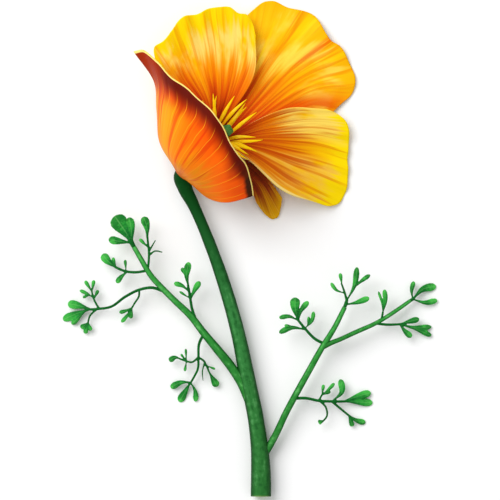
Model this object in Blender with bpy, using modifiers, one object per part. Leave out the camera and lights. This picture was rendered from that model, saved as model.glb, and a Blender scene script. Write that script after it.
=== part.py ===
"""A cut poppy flower lying on a table: stem, open bloom and two finely divided leaves.

The flower lies along +Y with its bloom at +Y. Z is up, and the table is the plane z = 0. The origin is on
the table, under the middle of the whole flower.
"""

import math

import bmesh
import bpy
import numpy as np

for old in list(bpy.data.objects):
    bpy.data.objects.remove(old, do_unlink=True)

# All sizes and places below are in millimetres.
MM = 0.001
PETAL_THICKNESS = 0.5
LOBE_THICKNESS = 0.8
LOBE_TIP_RISES = (0.35, -0.25, 0.05)  # neighbouring lobes end at different heights

# The bloom: its seat, its throat, and the three directions that its rings are drawn with.
SEAT = np.array([-19.3, 24.3, 6.5])
THROAT = np.array([-8.5, 34.5, 11.0])
BLOOM_AXIS = np.array([0.60, 0.55, 0.58])
BLOOM_FAR = np.array([0.43, 0.39, -0.81])
BLOOM_LEFT = np.array([-0.68, 0.74, 0.0])
INNER_SEAT, OUTER_SEAT = 2.85, 3.65
INNER_THROAT, OUTER_THROAT = 5.2, 6.7

# The stem's middle line and its diameter there, from the cut end to the bloom.
STEM = [
    (3.3, -74.0, 3.1, 6.1),
    (3.3, -68.0, 3.1, 6.0),
    (3.0, -61.0, 3.1, 5.4),
    (1.8, -51.0, 3.3, 4.8),
    (-0.9, -38.0, 3.6, 4.7),
    (-3.6, -25.0, 3.9, 4.2),
    (-7.2, -12.0, 4.2, 3.9),
    (-11.7, 1.0, 4.4, 3.5),
    (-17.2, 14.0, 4.5, 3.6),
    (-19.5, 18.6, 4.6, 4.4),
    (-20.3, 22.0, 4.9, 5.2),
]

# Each petal is a loft through rows that run across it, from its foot (0) to its rim (1).
PETALS = {
    "petal_upper_right": {
        "seat": OUTER_SEAT,
        "throat": OUTER_THROAT,
        "arc": (50, -52),
        "rows": {
            0.62: [
                (-5.5, 51.5, 5.0), (-0.5, 55.5, 4.0), (6, 56, 3.2),
                (12.5, 52, 2.8), (16, 46.5, 2.7), (15.5, 41, 3.0),
            ],
            1.0: [
                (-3.5, 64, 3.2), (-2.2, 68.7, 2.4), (1.4, 72.6, 1.4), (4.0, 74.5, 0.6), (6.6, 74.9, 0.4),
                (11.5, 72.9, 0.6), (19.4, 70.5, 1.0), (22.9, 65.1, 1.8),
                (24.3, 63.1, 2.0), (27.1, 61.3, 1.4),
                (29.8, 56.6, 0.8), (31.7, 51.3, 0.5), (30.7, 46.9, 0.5), (27.6, 44.1, 0.7), (24, 40.5, 1.0),
            ],
        },
    },
    "petal_upper_left": {
        "seat": INNER_SEAT,
        "throat": INNER_THROAT,
        "arc": (118, 28),
        "rows": {
            0.62: [
                (-22.3, 47.5, 13), (-19.5, 53, 11), (-14.5, 56, 8.8),
                (-8.5, 56.7, 7.4), (-3, 54.8, 6.8), (0.7, 51, 7),
            ],
            1.0: [
                (-28.4, 56.8, 13.5), (-28.5, 60.7, 13.2), (-26.1, 62.3, 13),
                (-23.2, 65.8, 12), (-19.9, 69.9, 10.6),
                (-15.6, 70.6, 9.8), (-13.2, 72, 9), (-9.3, 72.8, 8), (-6, 72.8, 7.2), (-3.4, 71, 6.8),
                (-1, 70.6, 6.4), (0.3, 69, 6), (1.7, 64.3, 6),
            ],
        },
    },
    "petal_right": {
        "seat": INNER_SEAT,
        "throat": INNER_THROAT,
        "arc": (-25, -112),
        "rows": {
            0.62: [
                (9.5, 42, 8.2), (14, 38, 6.0), (15.8, 32, 4.8),
                (15.3, 26, 4.8), (13, 21.2, 6.4), (9, 18.3, 9.5),
            ],
            1.0: [
                (23, 42.3, 4.4), (26.5, 40.8, 3.4), (29.2, 38, 2.6), (29.8, 34, 1.8), (29.4, 27.2, 1.2),
                (29.4, 20.9, 0.8), (28.6, 16.8, 0.5), (26.5, 13.9, 0.7), (23.6, 13.2, 1.8), (20, 14.2, 3.6),
            ],
        },
    },
    "petal_small": {
        "seat": OUTER_SEAT,
        "arc": (-97, -116),
        "rows": {
            0.4: [(-6.0, 27.6, 7.0), (-8.0, 26.0, 7.2), (-9.9, 24.2, 7.2)],
            0.56: [(0.2, 26.3, 6.4), (-2.6, 23.6, 6.0), (-5.4, 21.2, 5.8)],
            0.72: [(4.8, 22, 5), (1.5, 20.6, 4.6), (-0.6, 18.2, 4.4)],
            1.0: [
                (9.7, 15.6, 2.4), (9.2, 12.6, 1.2), (8.2, 9.8, 0.5),
                (6.9, 9.3, 0.4), (4.4, 11, 0.8), (2.2, 14, 2),
            ],
        },
    },
    "petal_front": {
        "seat": OUTER_SEAT,
        "arc": (115, 234),
        "rows": {
            0.34: [
                (-27.0, 32.4, 6.5), (-26.6, 32, 12), (-24.5, 29.8, 17),
                (-22, 27.2, 20), (-18.8, 24.4, 20.5),
                (-16.2, 21.2, 18), (-14, 17.8, 13.5), (-12.6, 15.7, 10.5),
            ],
            0.68: [
                (-27.9, 42.5, 9.5), (-27, 42.6, 16.5), (-24, 41, 23), (-19, 36.8, 28), (-13.5, 32, 30),
                (-9.6, 26.2, 28), (-7, 19.8, 23), (-6.1, 14.3, 17),
            ],
            0.84: [
                (-28.7, 50.6, 12.5), (-27.2, 49.9, 18), (-24.3, 46.6, 23.9), (-19.5, 42.9, 28.4),
                (-14.1, 38.3, 31.3), (-9.4, 32.4, 31.7), (-6, 26.2, 29.3),
                (-3.5, 20.7, 24.8), (-2.5, 15.1, 19.3),
            ],
            1.0: [
                (-34.7, 59.2, 15.5), (-32.2, 59.6, 17), (-29.9, 58.3, 19),
                (-27.5, 55.9, 21.5), (-24.2, 52.1, 25),
                (-19.9, 48.9, 28.5), (-15.3, 44.8, 31), (-10.3, 40.1, 33),
                (-8.2, 36.7, 33.4), (-6.3, 32.4, 33),
                (-3.6, 28.6, 31.5), (-1.2, 25.3, 29), (0.3, 20.9, 25.5), (1.1, 16.2, 21.5),
            ],
        },
    },
}

# The pistil's middle line and its diameter there: a slender shaft and a five-sided knob.
PISTIL = [
    (-18.2, 25.3, 7.9, 1.4),
    (-13.2, 30.2, 11.0, 1.6),
    (-9.4, 33.6, 13.0, 1.5),
    (-7.8, 34.9, 14.6, 2.0),
    (-7.0, 35.5, 16.0, 3.4),
    (-6.8, 35.7, 17.2, 3.3),
    (-6.7, 35.8, 17.9, 2.0),
]

# The stamens' tips, in order round the pistil; they start on one ring and pass through another.
STAMEN_SEAT = np.array([-18.3, 25.2, 7.6])
STAMEN_SEAT_RADIUS = 1.75
STAMEN_COLLAR = np.array([-9.3, 33.7, 13.3])
STAMEN_COLLAR_RADIUS = 2.7
STAMEN_TIPS = [
    (-14.1, 44.6, 17.5),
    (-11.0, 46.6, 16.5),
    (-10.0, 46.0, 14.6),
    (-4.6, 46.0, 13.8),
    (-1.0, 45.0, 13.2),
    (-1.4, 43.9, 11.8),
    (-1.0, 42.8, 10.4),
    (2.0, 41.2, 11.8),
    (1.7, 33.7, 12.6),
    (3.8, 32.9, 13.4),
    (2.2, 29.3, 14.4),
    (1.2, 29.8, 15.8),
    (-0.5, 28.4, 17.2),
    (-0.6, 26.9, 18.8),
    (-13.6, 33.2, 22.5),
]

# The leaf stalks' middle lines and diameters.
LEFT_STALK = [
    (-5.9, -34.7, 3.8, 2.8),
    (-9.9, -29.7, 4.3, 2.6),
    (-13.7, -25.1, 4.6, 2.3),
    (-18.0, -19.6, 4.9, 2.1),
    (-22.5, -15.3, 5.0, 1.9),
    (-26.4, -11.4, 5.1, 1.8),
    (-29.4, -8.1, 5.1, 1.7),
    (-32.9, -2.4, 5.2, 1.5),
    (-34.8, 0.9, 5.2, 1.4),
]
RIGHT_STALK = [
    (6.6, -58.2, 3.3, 2.1),
    (7.8, -55.3, 3.5, 2.1),
    (10.8, -48.9, 4.0, 2.0),
    (14.0, -42.9, 4.4, 2.0),
    (17.9, -35.9, 4.8, 1.9),
    (21.2, -30.0, 5.1, 1.8),
    (25.5, -23.0, 5.4, 1.6),
    (28.4, -17.2, 5.6, 1.4),
]
FORK_STALK = [
    (24.5, -27.8, 5.1, 1.5),
    (26.8, -26.9, 5.0, 1.4),
    (31.4, -24.8, 4.8, 1.4),
    (37.9, -21.9, 4.2, 1.3),
    (44.8, -17.6, 3.0, 1.2),
    (48.2, -15.2, 2.2, 1.1),
]

# Each leaf sprig: twigs as (points, first and last diameter) and lobes as (points, width), seen from above.
# Its height goes from "root" at the first twig's start to "end" at "reach" away from there.
SPRIGS = {
    "left_leaf_end": {
        "root": 5.2, "end": 6.6, "reach": 12, "clear": 0.4,
        "twigs": [([(-34.8, 0.9), (-35.7, 2.6)], 1.4, 1.5)],
        "lobes": [
            ([(-35.3, 2.2), (-37.7, 6.0), (-40.6, 10.2)], 5.2),
            ([(-35.4, 2.2), (-35.6, 6.2), (-36.3, 9.8)], 2.8),
            ([(-35.6, 2.2), (-39.0, 2.6), (-42.4, 3.2)], 2.5),
        ],
    },
    "left_leaf_upright": {
        "root": 5.2, "end": 7.4, "reach": 16, "clear": 2.0,
        "twigs": [
            ([(-30.7, -6.2), (-30.3, -2.0), (-30.8, 4.3)], 0.8, 0.7),
            ([(-30.3, -1.6), (-28.4, -0.3), (-26.2, -0.7)], 0.7, 0.4),
            ([(-30.3, -0.4), (-28.3, 3.0)], 0.7, 0.35),
        ],
        "lobes": [
            ([(-30.8, 3.6), (-30.9, 6.8), (-31.9, 10.0)], 2.6),
            ([(-30.4, 0.6), (-33.2, 3.4)], 1.1),
        ],
    },
    "left_leaf_side": {
        "root": 5.1, "end": 2.6, "reach": 14, "clear": 1.2,
        "twigs": [
            ([(-31.0, -6.2), (-34.5, -6.7), (-37.7, -6.3), (-40.5, -5.1)], 0.9, 0.8),
        ],
        "lobes": [
            ([(-40.0, -5.4), (-43.0, -3.0), (-44.3, -1.2)], 2.7),
            ([(-37.2, -6.3), (-37.5, -2.9)], 1.0),
            ([(-40.2, -5.2), (-41.2, -2.2)], 1.0),
            ([(-36.6, -6.4), (-38.4, -7.8), (-40.1, -9.9)], 1.7),
        ],
    },
    "left_leaf_runner": {
        "root": 5.1, "end": 0.5, "reach": 31, "clear": 3.2,
        "twigs": [
            ([(-25.4, -12.6), (-29.4, -11.3), (-33.4, -12.0), (-37.4, -14.0), (-41.9, -17.1), (-45.6, -17.7),
              (-48.8, -17.9)], 1.0, 0.8),
            ([(-45.4, -17.6), (-47.0, -14.6), (-47.6, -12.2)], 0.7, 0.6),
            ([(-45.8, -17.6), (-48.1, -19.8), (-48.8, -22.3)], 0.7, 0.6),
        ],
        "lobes": [
            ([(-48.0, -17.8), (-51.5, -16.7), (-54.8, -16.1)], 2.7),
            ([(-48.2, -17.9), (-52.3, -19.2), (-56.3, -21.0)], 2.5),
            ([(-49.5, -18.4), (-51.8, -20.5), (-53.6, -22.4)], 1.8),
            ([(-47.5, -12.6), (-48.6, -10.8), (-49.6, -9.2)], 1.2),
            ([(-47.5, -12.6), (-47.2, -10.8), (-46.9, -9.0)], 1.2),
            ([(-47.0, -14.4), (-49.0, -13.1), (-51.2, -12.1)], 1.2),
            ([(-48.2, -13.6), (-50.3, -14.3)], 0.9),
            ([(-46.9, -14.8), (-45.6, -12.0)], 1.1),
            ([(-48.6, -21.8), (-50.9, -23.5)], 1.7),
            ([(-48.6, -21.8), (-47.9, -24.3)], 1.4),
            ([(-48.7, -21.8), (-49.6, -25.2)], 1.5),
        ],
    },
    "left_leaf_hanging": {
        "root": 4.6, "end": 1.6, "reach": 11, "clear": 0.8,
        "twigs": [([(-33.2, -12.0), (-33.4, -14.0), (-34.6, -15.9), (-35.6, -17.6)], 0.7, 0.6)],
        "lobes": [
            ([(-35.3, -17.2), (-37.2, -18.2), (-39.3, -18.8)], 1.3),
            ([(-35.4, -17.2), (-35.9, -20.6)], 1.4),
            ([(-35.5, -17.4), (-37.0, -19.8), (-38.7, -21.8)], 1.3),
        ],
    },
    "left_leaf_inner_up": {
        "root": 5.0, "end": 7.6, "reach": 18, "clear": 3.4,
        "twigs": [
            ([(-16.0, -21.8), (-17.5, -17.1), (-17.9, -14.6), (-18.6, -10.4)], 1.0, 0.8),
        ],
        "lobes": [
            ([(-18.4, -11.2), (-19.0, -7.5), (-18.3, -3.6)], 2.2),
            ([(-18.8, -8.4), (-20.5, -5.3)], 1.3),
            ([(-18.4, -12.4), (-20.2, -10.8), (-22.8, -9.9)], 1.6),
            ([(-17.9, -14.6), (-21.2, -12.4)], 0.8),
            ([(-17.8, -14.8), (-16.6, -12.0), (-15.0, -9.4)], 1.9),
        ],
    },
    "left_leaf_inner_down": {
        "root": 4.6, "end": 0.5, "reach": 20, "clear": 1.75,
        "twigs": [
            ([(-13.6, -24.8), (-15.2, -27.9), (-15.5, -32.6)], 1.0, 0.8),
            ([(-15.5, -32.2), (-17.5, -33.7), (-19.1, -33.4), (-21.3, -32.6)], 0.7, 0.6),
            ([(-15.5, -32.2), (-13.8, -33.4), (-12.9, -35.2), (-12.0, -37.3)], 0.7, 0.6),
            ([(-15.5, -32.0), (-15.7, -35.8), (-16.9, -38.3), (-18.0, -40.2)], 0.8, 0.7),
            ([(-13.6, -33.6), (-14.3, -36.7), (-14.1, -39.3)], 0.55, 0.35),
        ],
        "lobes": [
            ([(-20.8, -32.7), (-22.6, -32.3), (-24.3, -33.4)], 1.8),
            ([(-19.1, -33.4), (-19.3, -29.6)], 0.8),
            ([(-19.2, -33.3), (-20.8, -31.2)], 0.8),
            ([(-19.1, -33.4), (-19.6, -36.5)], 0.9),
            ([(-12.2, -36.8), (-11.0, -39.0), (-9.8, -41.1)], 2.3),
            ([(-12.9, -34.8), (-10.4, -35.8)], 0.8),
            ([(-17.8, -39.8), (-20.6, -39.8), (-23.9, -41.4)], 2.1),
            ([(-17.9, -39.8), (-19.5, -42.6), (-21.3, -45.7)], 2.4),
            ([(-17.8, -39.9), (-16.5, -42.4), (-16.3, -45.6)], 1.7),
        ],
    },
    "right_leaf_low": {
        "root": 4.2, "end": 0.5, "reach": 23, "clear": 2.15,
        "twigs": [
            ([(12.8, -44.6), (16.8, -44.5), (20.8, -45.3), (24.8, -45.5), (28.8, -45.5)], 1.0, 0.8),
            ([(20.6, -45.3), (21.8, -43.2)], 0.7, 0.6),
            ([(20.8, -45.2), (22.8, -47.3), (23.1, -49.9), (21.6, -51.8)], 0.7, 0.6),
            ([(24.6, -45.5), (27.7, -48.1), (30.0, -50.0)], 0.8, 0.7),
        ],
        "lobes": [
            ([(28.2, -45.5), (32.4, -44.0), (36.4, -42.9)], 2.4),
            ([(28.2, -45.5), (32.6, -45.7), (36.9, -46.0)], 2.4),
            ([(24.8, -45.4), (27.6, -42.6), (27.2, -38.8)], 2.1),
            ([(21.6, -43.6), (22.1, -40.4)], 1.1),
            ([(21.6, -43.6), (24.2, -42.4)], 1.2),
            ([(21.6, -43.6), (23.8, -41.7), (25.4, -40.0)], 1.2),
            ([(22.2, -51.2), (20.5, -51.9)], 1.6),
            ([(29.6, -49.6), (32.0, -51.2), (34.8, -52.0)], 1.8),
            ([(29.6, -49.6), (30.9, -53.1)], 1.6),
        ],
    },
    "right_leaf_inner": {
        "root": 5.2, "end": 7.2, "reach": 16, "clear": 1.25,
        "twigs": [
            ([(22.4, -28.2), (19.7, -26.8), (16.6, -23.7), (14.4, -21.0)], 1.0, 0.8),
        ],
        "lobes": [
            ([(14.6, -21.2), (13.6, -17.8), (13.5, -14.2)], 3.1),
            ([(14.7, -21.3), (11.7, -19.9), (8.7, -20.3)], 1.5),
            ([(14.5, -21.1), (15.3, -18.2), (17.5, -15.4)], 1.8),
            ([(16.4, -23.5), (18.5, -21.4), (19.1, -18.4)], 1.3),
            ([(17.2, -22.9), (17.7, -19.9)], 0.9),
            ([(16.8, -23.9), (12.4, -23.3), (8.7, -24.8)], 1.8),
            ([(14.2, -23.5), (10.3, -22.5)], 1.0),
        ],
    },
    "right_leaf_top": {
        "root": 5.6, "end": 7.4, "reach": 13, "clear": 0.5,
        "twigs": [
            ([(28.4, -17.2), (29.1, -14.9)], 1.2, 1.0),
            ([(29.0, -15.2), (28.4, -12.8), (27.4, -10.0)], 0.8, 0.6),
        ],
        "lobes": [
            ([(28.7, -16.4), (32.1, -15.7), (35.8, -14.3)], 1.9),
            ([(27.6, -10.6), (27.0, -6.9)], 1.2),
            ([(28.5, -13.0), (25.9, -12.0), (24.2, -9.8)], 1.2),
            ([(29.0, -15.2), (31.2, -11.0), (32.1, -5.1)], 1.9),
            ([(31.0, -11.6), (33.4, -9.3), (36.0, -7.4)], 1.4),
        ],
    },
    "right_leaf_fork_up": {
        "root": 4.1, "end": 6.0, "reach": 9, "clear": 1.2,
        "twigs": [([(39.5, -20.9), (39.9, -18.6)], 0.8, 0.7)],
        "lobes": [
            ([(39.8, -19.0), (40.6, -15.6), (40.3, -11.8)], 1.6),
            ([(39.9, -18.8), (39.5, -15.4), (38.5, -12.4)], 0.9),
        ],
    },
    "right_leaf_fork_low": {
        "root": 4.3, "end": 0.8, "reach": 17, "clear": 2.0,
        "twigs": [([(37.6, -22.0), (41.0, -22.4), (45.4, -22.3)], 0.9, 0.8)],
        "lobes": [
            ([(44.8, -22.3), (48.2, -21.4), (50.9, -20.7)], 1.9),
            ([(44.8, -22.3), (50.0, -23.4), (54.6, -23.1)], 1.8),
            ([(47.4, -22.9), (51.4, -24.4), (54.6, -25.8)], 1.7),
            ([(44.9, -22.2), (46.8, -24.6), (48.6, -26.2)], 1.9),
        ],
    },
    "right_leaf_end": {
        "root": 2.2, "end": 0.6, "reach": 8, "clear": 0.4,
        "twigs": [([(48.2, -15.2), (49.4, -14.5)], 1.1, 1.0)],
        "lobes": [
            ([(48.9, -14.9), (48.6, -12.0), (49.3, -9.4)], 1.5),
            ([(48.9, -14.8), (52.0, -11.8), (56.0, -10.9)], 2.5),
            ([(48.9, -14.8), (52.8, -15.8), (56.4, -15.1)], 1.8),
        ],
    },
}

# Colour, roughness.
GREEN_STEM = ((0.030, 0.130, 0.040), 0.45)
GREEN_LEAF = ((0.040, 0.260, 0.050), 0.50)
GREEN_PISTIL = ((0.050, 0.130, 0.020), 0.50)
YELLOW_STAMEN = ((0.900, 0.520, 0.010), 0.50)
PETAL_COLOURS = {
    "petal_upper_left": (0.95, 0.55, 0.01),
    "petal_upper_right": (0.92, 0.42, 0.01),
    "petal_right": (0.90, 0.40, 0.01),
    "petal_small": (0.60, 0.25, 0.01),
    "petal_front": (0.90, 0.15, 0.005),
}
PETAL_ROUGHNESS = 0.45


def collection(name, hidden=False):
    made = bpy.data.collections.new(name)
    made.hide_render = hidden
    bpy.context.scene.collection.children.link(made)
    return made


PARTS = collection("poppy_flower")
HELPERS = collection("helpers", hidden=True)


def material(name, colour, roughness):
    made = bpy.data.materials.new(name)
    made.use_nodes = True
    shader = made.node_tree.nodes["Principled BSDF"]
    shader.inputs["Base Color"].default_value = (*colour, 1)
    shader.inputs["Roughness"].default_value = roughness
    shader.inputs["Metallic"].default_value = 0
    return made


def through(knots, values, places):
    """A smooth curve that has the given values at the knots, read at the given places."""
    knots, values, places = np.array(knots), np.array(values, float), np.array(places)
    slopes = np.gradient(values, knots, axis=0)
    spot = np.clip(np.searchsorted(knots, places, side="right") - 1, 0, len(knots) - 2)
    width = (knots[spot + 1] - knots[spot]).reshape(-1, *[1] * (values.ndim - 1))
    s = ((places - knots[spot]).reshape(width.shape)) / width
    start, end = values[spot], values[spot + 1]
    start_slope, end_slope = slopes[spot] * width, slopes[spot + 1] * width
    return (
        (2 * s**3 - 3 * s**2 + 1) * start
        + (s**3 - 2 * s**2 + s) * start_slope
        + (3 * s**2 - 2 * s**3) * end
        + (s**3 - s**2) * end_slope
    )


def along(points, places):
    """Points at places from 0 to 1 along a smooth curve through the given points."""
    points = np.array(points, float)
    steps = np.linalg.norm(np.diff(points[:, :3], axis=0), axis=1)
    return through(np.concatenate([[0], np.cumsum(steps)]) / steps.sum(), points, places)


def ring(centre, radius, degrees):
    """Points on a ring round the bloom's axis. Its angle is 0 on the far side and 90 on the left."""
    turn = np.radians(degrees)[:, None]
    return centre + radius * (np.cos(turn) * BLOOM_FAR + np.sin(turn) * BLOOM_LEFT)


def new_object(name, data, home=PARTS):
    made = bpy.data.objects.new(name, data)
    home.objects.link(made)
    return made


def mesh_object(name, points, faces, home=PARTS):
    mesh = bpy.data.meshes.new(name)
    mesh.from_pydata([tuple(p) for p in np.array(points) * MM], [], faces)
    mesh.shade_smooth()
    return new_object(name, mesh, home)


def tube(name, line, samples, bevel_resolution, home=PARTS):
    """A curve with filled ends, along points of x, y, z and diameter."""
    curve = bpy.data.curves.new(name, "CURVE")
    curve.dimensions = "3D"
    curve.bevel_depth = MM
    curve.bevel_resolution = bevel_resolution
    curve.use_fill_caps = True
    spline = curve.splines.new("POLY")
    spline.points.add(samples - 1)
    for point, (x, y, z, diameter) in zip(spline.points, along(line, np.linspace(0, 1, samples))):
        point.co = (x * MM, y * MM, z * MM, 1)
        point.radius = diameter / 2
    spline.use_smooth = True
    return new_object(name, curve, home)


def curve_to_mesh(made):
    """The same piece as a mesh with its caps welded on."""
    bpy.context.view_layer.update()
    evaluated = made.evaluated_get(bpy.context.evaluated_depsgraph_get())
    mesh = bpy.data.meshes.new_from_object(evaluated)
    work = bmesh.new()
    work.from_mesh(mesh)
    bmesh.ops.remove_doubles(work, verts=work.verts, dist=0.00001)
    bmesh.ops.recalc_face_normals(work, faces=work.faces)
    work.to_mesh(mesh)
    work.free()
    name, home, curve = made.name, made.users_collection[0], made.data
    bpy.data.objects.remove(made)
    bpy.data.curves.remove(curve)
    return new_object(name, mesh, home)


def blade(name, line, widths, thicknesses, sides, ribs=0.0, home=PARTS):
    """A loft of flat ovals along a line: ovals of changing width and thickness, lying level."""
    line = np.array(line)
    ahead = np.gradient(line, axis=0)
    ahead /= np.linalg.norm(ahead, axis=1)[:, None]
    across = np.cross((0, 0, 1), ahead)
    across /= np.linalg.norm(across, axis=1)[:, None]
    up = np.cross(ahead, across)
    turn = np.linspace(0, 2 * math.pi, sides, endpoint=False)
    bulge = 1 + ribs * np.cos(5 * turn)
    points = [
        centre + bulge[j] * (side * math.cos(turn[j]) * width + top * math.sin(turn[j]) * thick) / 2
        for centre, side, top, width, thick in zip(line, across, up, widths, thicknesses)
        for j in range(sides)
    ]
    faces = [
        (i * sides + j, i * sides + (j + 1) % sides, (i + 1) * sides + (j + 1) % sides, (i + 1) * sides + j)
        for i in range(len(line) - 1)
        for j in range(sides)
    ]
    last = (len(line) - 1) * sides
    faces.append(tuple(range(sides - 1, -1, -1)))
    faces.append(tuple(range(last, last + sides)))
    return mesh_object(name, points, faces, home)


def join(name, pieces):
    """One closed body out of overlapping pieces: the first takes the others in."""
    others = bpy.data.collections.new(name + "_pieces")
    HELPERS.children.link(others)
    for piece in pieces[1:]:
        others.objects.link(piece)
        HELPERS.objects.unlink(piece)
        piece.hide_render = True
        piece.display_type = "WIRE"
    whole = pieces[0]
    whole.name = name
    HELPERS.objects.unlink(whole)
    PARTS.objects.link(whole)
    if len(pieces) > 1:
        union = whole.modifiers.new("union", "BOOLEAN")
        union.operation = "UNION"
        union.solver = "EXACT"
        union.operand_type = "COLLECTION"
        union.collection = others
    return whole


def finish(made, colour, roughness):
    made.data.materials.append(material(made.name, colour, roughness))
    made.parent = ROOT


def petal(name, columns=13, lines=7):
    """A thin shell: an open loft through the petal's rows, given its thickness."""
    spec = PETALS[name]
    across = np.linspace(0, 1, columns + 1)
    arc = np.linspace(*spec["arc"], columns + 1)
    knots, rows = [0.0], [ring(SEAT - 0.6 * BLOOM_AXIS, spec["seat"], arc)]
    if "throat" in spec:
        knots.append(0.3)
        rows.append(ring(THROAT, spec["throat"], arc))
    for place, points in spec["rows"].items():
        knots.append(place)
        rows.append(along(points, across))
    grid = through(knots, rows, np.linspace(0, 1, lines + 1)).reshape(-1, 3)
    wide = columns + 1
    faces = [
        (i * wide + j, i * wide + j + 1, (i + 1) * wide + j + 1, (i + 1) * wide + j)
        for i in range(lines)
        for j in range(columns)
    ]
    made = mesh_object(name, grid, faces)
    shell = made.modifiers.new("thickness", "SOLIDIFY")
    shell.thickness = PETAL_THICKNESS * MM
    shell.offset = 0
    finish(made, PETAL_COLOURS[name], PETAL_ROUGHNESS)


def receptacle():
    """The swollen seat: ovals along the bloom's axis, rounded below and flat on top."""
    places = np.array([-1.6, -1.3, -0.7, 0.2, 1.0, 1.5])
    widths = np.array([0.9, 2.2, 3.6, 4.5, 4.6, 4.0])
    made = blade("receptacle", SEAT + places[:, None] * BLOOM_AXIS, widths, widths, 12)
    finish(made, *GREEN_STEM)


def pistil():
    line = along(PISTIL, np.linspace(0, 1, 10))
    made = blade("pistil", line[:, :3], line[:, 3], line[:, 3], 10, ribs=0.06)
    finish(made, *GREEN_PISTIL)


def stamens():
    """Pointed blades that rise round the pistil and spread out of the throat."""
    count = len(STAMEN_TIPS)
    places = np.array([0, 0.3, 0.58, 0.7, 0.84, 1])
    turns = 135 - np.arange(count) * 360 / count
    starts = ring(STAMEN_SEAT, STAMEN_SEAT_RADIUS, turns)
    collars = ring(STAMEN_COLLAR, STAMEN_COLLAR_RADIUS, turns)
    widths = np.interp(places, [0, 0.55, 0.8, 1], [0.28, 0.40, 0.9, 0.12])
    thicknesses = np.interp(places, [0, 0.55, 0.8, 1], [0.28, 0.36, 0.5, 0.12])
    for k, tip in enumerate(STAMEN_TIPS):
        line = along([starts[k], collars[k], tip], places)
        made = blade(f"stamen_{k + 1:02d}", line, widths, thicknesses, 6)
        finish(made, *YELLOW_STAMEN)


def stalk(name, line, samples):
    finish(tube(name, line, samples, bevel_resolution=2), *GREEN_STEM)


def lifted(points, spec):
    """The same points with the height that a sprig has there."""
    points = np.array(points, float)
    away = np.linalg.norm(points - spec["twigs"][0][0][0], axis=1) / spec["reach"]
    rise = (spec["end"] - spec["root"]) * np.clip(away, 0, 1) ** 1.4
    return np.column_stack([points, spec["root"] + rise])


def sprig(name):
    """One grown piece of leaf: thin twigs with flat, spoon-shaped lobes."""
    spec = SPRIGS[name]
    pieces = []
    for k, (points, first, last) in enumerate(spec["twigs"]):
        count = 2 * len(points)
        line = along(points, np.linspace(0, 1, 40))
        if k == 0:
            far = np.linalg.norm(line - line[0], axis=1) >= spec["clear"]
            line = line[far]
        line = lifted(along(line, np.linspace(0, 1, count)), spec)
        line = np.column_stack([line, np.linspace(first, last, count)])
        pieces.append(curve_to_mesh(tube(f"{name}_twig", line, count, 1, HELPERS)))
    places = np.array([0, 0.28, 0.52, 0.74, 0.92, 1])
    shape = np.array([0.30, 0.50, 0.90, 1.0, 0.62, 0.18])
    depth = np.array([0.62, 0.80, 1.0, 1.0, 0.7, 0.2])
    for k, (points, width) in enumerate(spec["lobes"]):
        line = lifted(along(points, places), spec)
        line[:, 2] += LOBE_TIP_RISES[k % 3] * places
        widths = np.maximum(shape * width, 0.5 * depth)
        pieces.append(blade(f"{name}_lobe", line, widths, depth * LOBE_THICKNESS, 6, home=HELPERS))
    finish(join(name, pieces), *GREEN_LEAF)


ROOT = new_object("poppy_root", None)

finish(tube("flower_stem", STEM, 22, bevel_resolution=4), *GREEN_STEM)
receptacle()
for petal_name in PETALS:
    petal(petal_name)
pistil()
stamens()
stalk("left_leaf_stalk", LEFT_STALK, 16)
stalk("right_leaf_stalk", RIGHT_STALK, 14)
stalk("right_leaf_fork", FORK_STALK, 10)
for sprig_name in SPRIGS:
    sprig(sprig_name)
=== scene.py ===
"""The poppy flower as it looks: every piece at full detail, on a white table under soft light."""

import math

import bmesh
import bpy
import numpy as np
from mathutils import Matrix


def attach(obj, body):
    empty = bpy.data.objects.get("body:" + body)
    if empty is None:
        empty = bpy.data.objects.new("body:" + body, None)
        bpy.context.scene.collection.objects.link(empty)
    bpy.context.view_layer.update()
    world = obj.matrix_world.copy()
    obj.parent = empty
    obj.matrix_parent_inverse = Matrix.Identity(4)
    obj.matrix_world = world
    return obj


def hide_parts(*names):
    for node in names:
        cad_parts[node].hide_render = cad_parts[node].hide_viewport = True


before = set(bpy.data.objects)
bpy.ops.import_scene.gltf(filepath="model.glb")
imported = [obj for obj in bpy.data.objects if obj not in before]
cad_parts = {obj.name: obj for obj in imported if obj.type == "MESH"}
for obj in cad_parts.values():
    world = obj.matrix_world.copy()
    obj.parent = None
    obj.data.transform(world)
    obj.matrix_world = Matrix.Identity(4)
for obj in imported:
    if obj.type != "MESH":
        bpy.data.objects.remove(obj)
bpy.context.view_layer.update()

# All sizes and places below are in millimetres.
MM = 0.001
LOBE_TIP_RISES = (0.35, -0.25, 0.05)  # neighbouring lobes end at different heights

# The bloom: its seat, its throat, and the three directions that its rings are drawn with.
SEAT = np.array([-19.3, 24.3, 6.5])
THROAT = np.array([-8.5, 34.5, 11.0])
BLOOM_AXIS = np.array([0.60, 0.55, 0.58])
BLOOM_FAR = np.array([0.43, 0.39, -0.81])
BLOOM_LEFT = np.array([-0.68, 0.74, 0.0])
INNER_SEAT, OUTER_SEAT = 2.85, 3.65
INNER_THROAT, OUTER_THROAT = 5.2, 6.7

# The stem's middle line and its diameter there, from the cut end to the bloom.
STEM = [
    (3.3, -74.0, 3.1, 6.1),
    (3.3, -68.0, 3.1, 6.0),
    (3.0, -61.0, 3.1, 5.4),
    (1.8, -51.0, 3.3, 4.8),
    (-0.9, -38.0, 3.6, 4.7),
    (-3.6, -25.0, 3.9, 4.2),
    (-7.2, -12.0, 4.2, 3.9),
    (-11.7, 1.0, 4.4, 3.5),
    (-17.2, 14.0, 4.5, 3.6),
    (-19.5, 18.6, 4.6, 4.4),
    (-20.3, 22.0, 4.9, 5.2),
]

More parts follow.
